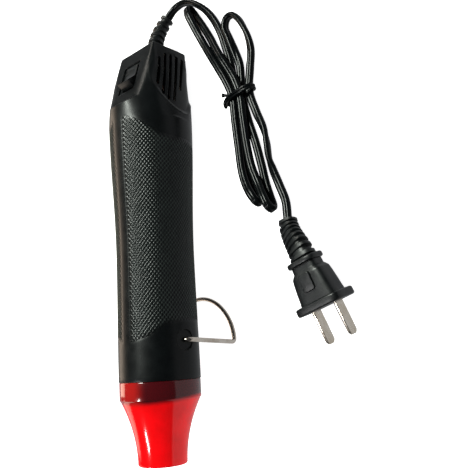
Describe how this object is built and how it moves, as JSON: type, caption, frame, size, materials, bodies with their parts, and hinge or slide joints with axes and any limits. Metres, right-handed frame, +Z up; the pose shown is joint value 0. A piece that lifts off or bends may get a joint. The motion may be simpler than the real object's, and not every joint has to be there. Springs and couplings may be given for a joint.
{
  "type": "embossing heat tool",
  "caption": "Slim hand-held hot-air gun with a flared nozzle guard, a rocker switch, a folding wire stand, and a mains cord folded into a hank with its plug.",
  "frame": {"origin": "middle of the tool's box without the free cord, on the table", "axes": "+X from the nozzle to the cord end, +Z up from the table, +Y across, away from the cord's hank"},
  "size_m": [0.2517, 0.1243, 0.057],
  "materials": {
    "housing_plastic": "satin black glass-filled polyamide",
    "switch_plastic": "black polycarbonate",
    "red_guard": "red heat-resistant polyamide",
    "inner_plastic": "black moulded plastic",
    "steel": "bright sheet and wire",
    "nickel_wire": "nickel plated",
    "mica": "mica board",
    "copper": "copper and brass",
    "lead_insulation": "silicone insulation",
    "board_laminate": "circuit board laminate",
    "cord_pvc": "glossy black PVC"
  },
  "bodies": {
    "tool": {"shell_near": "housing_plastic", "shell_far": "housing_plastic", "shell_screws": "steel", "nozzle_guard": "red_guard", "heat_tube": "steel", "mica_liner": "mica", "heater_former": "mica", "heater_coil": "steel", "thermal_cutout": "steel", "heater_leads": "lead_insulation", "fan_duct": "inner_plastic", "motor_magnets": "inner_plastic", "motor_can": "steel", "motor_endcap": "inner_plastic", "motor_terminals": "copper", "rectifier_board": "board_laminate", "board_parts": "inner_plastic", "switch_housing": "switch_plastic", "switch_terminals": "copper", "mains_leads": "lead_insulation", "inner_cord": "cord_pvc", "cord_clamp": "inner_plastic", "clamp_screws": "steel", "cord_boot": "cord_pvc", "power_cord": "cord_pvc", "cord_hank": "cord_pvc", "cord_tie": "cord_pvc", "cord_tail": "cord_pvc", "plug_boot": "cord_pvc", "plug_body": "cord_pvc", "plug_blades": "nickel_wire"},
    "stand": {"stand_wire": "nickel_wire"},
    "rocker": {"switch_rocker": "switch_plastic"},
    "rotor": {"motor_shaft": "steel", "motor_armature": "copper", "fan_impeller": "inner_plastic"}
  },
  "joints": [
    {"name": "stand_swing", "type": "hinge", "parent": "tool", "child": "stand", "pos_m": [-0.05014, 0, 0.03396], "axis": [0, -1, 0], "range_deg": [-90, 14]},
    {"name": "rocker_tilt", "type": "hinge", "parent": "tool", "child": "rocker", "pos_m": [0.09169, 0, 0.03217], "axis": [0, -1, 0], "range_deg": [0, 30]},
    {"name": "fan_spin", "type": "hinge", "parent": "tool", "child": "rotor", "pos_m": [-0.00932, 0, 0.03014], "axis": [0.9957, 0, -0.0931], "continuous": true}
  ]
}
